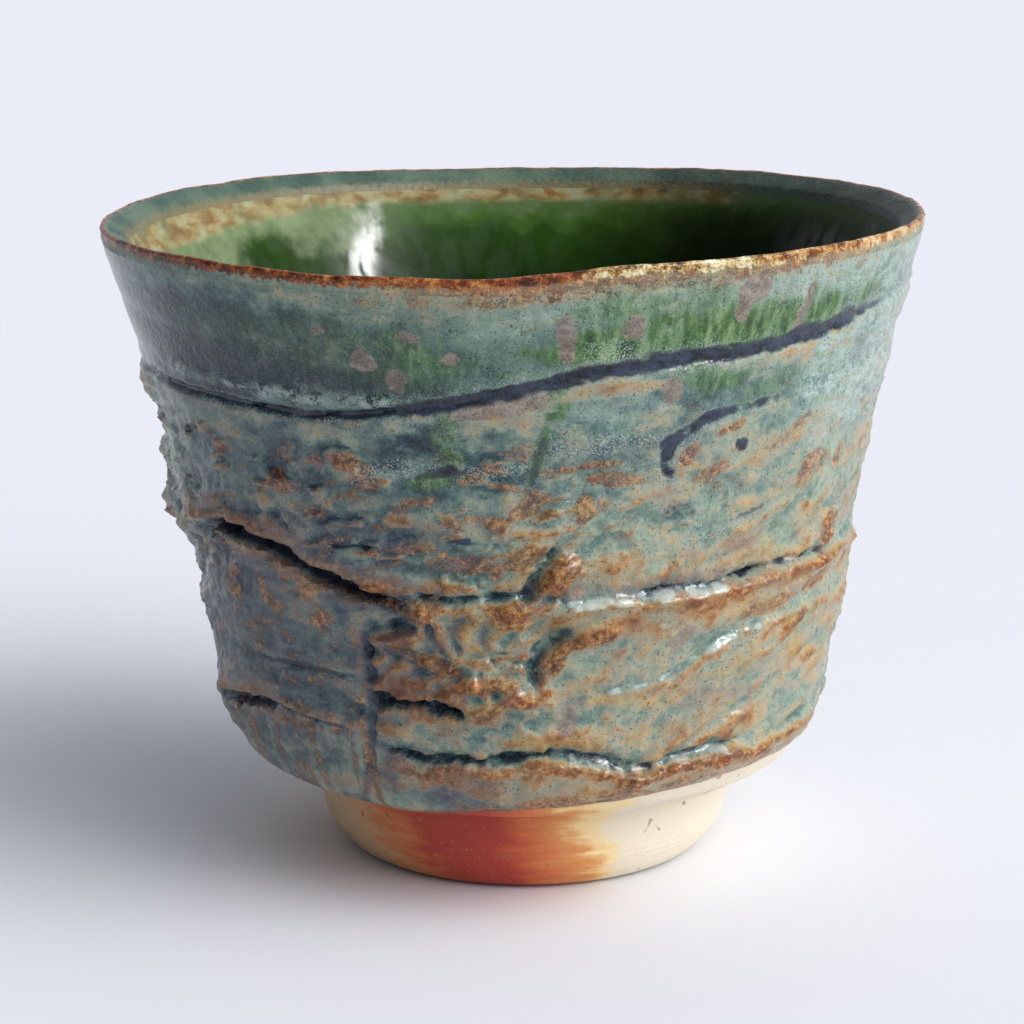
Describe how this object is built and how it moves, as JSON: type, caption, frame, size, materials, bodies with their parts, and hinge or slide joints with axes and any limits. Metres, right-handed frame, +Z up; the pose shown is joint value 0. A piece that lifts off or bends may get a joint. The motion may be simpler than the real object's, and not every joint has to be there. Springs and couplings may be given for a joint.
{
  "type": "sake cup",
  "caption": "Small flared stoneware drinking cup with a torn, ledged wall, a runny ash glaze, a thin brown lip, a green glassy inside and a bare turned foot ring.",
  "frame": {"origin": "On the plane that the foot ring rests on, under the middle of the lip.", "axes": "+Z up through the mouth; -Y is the side that the picture shows; +X is to the right in it."},
  "size_m": [0.066, 0.066, 0.0529],
  "materials": {
    "bare_clay": "matt unglazed stoneware",
    "flashed_clay": "unglazed stoneware flashed orange and red by the fire",
    "ash_glaze": "glossy ash glaze, sage and teal where thick, rust where thin",
    "iron_lip": "thin glossy iron-brown glaze",
    "green_glass": "pooled green ash glass"
  },
  "bodies": {
    "root": {"clay_body": "bare_clay", "foot_ring": "flashed_clay", "outer_glaze": "ash_glaze", "lip_glaze": "iron_lip", "inner_glaze": "green_glass"}
  },
  "joints": []
}
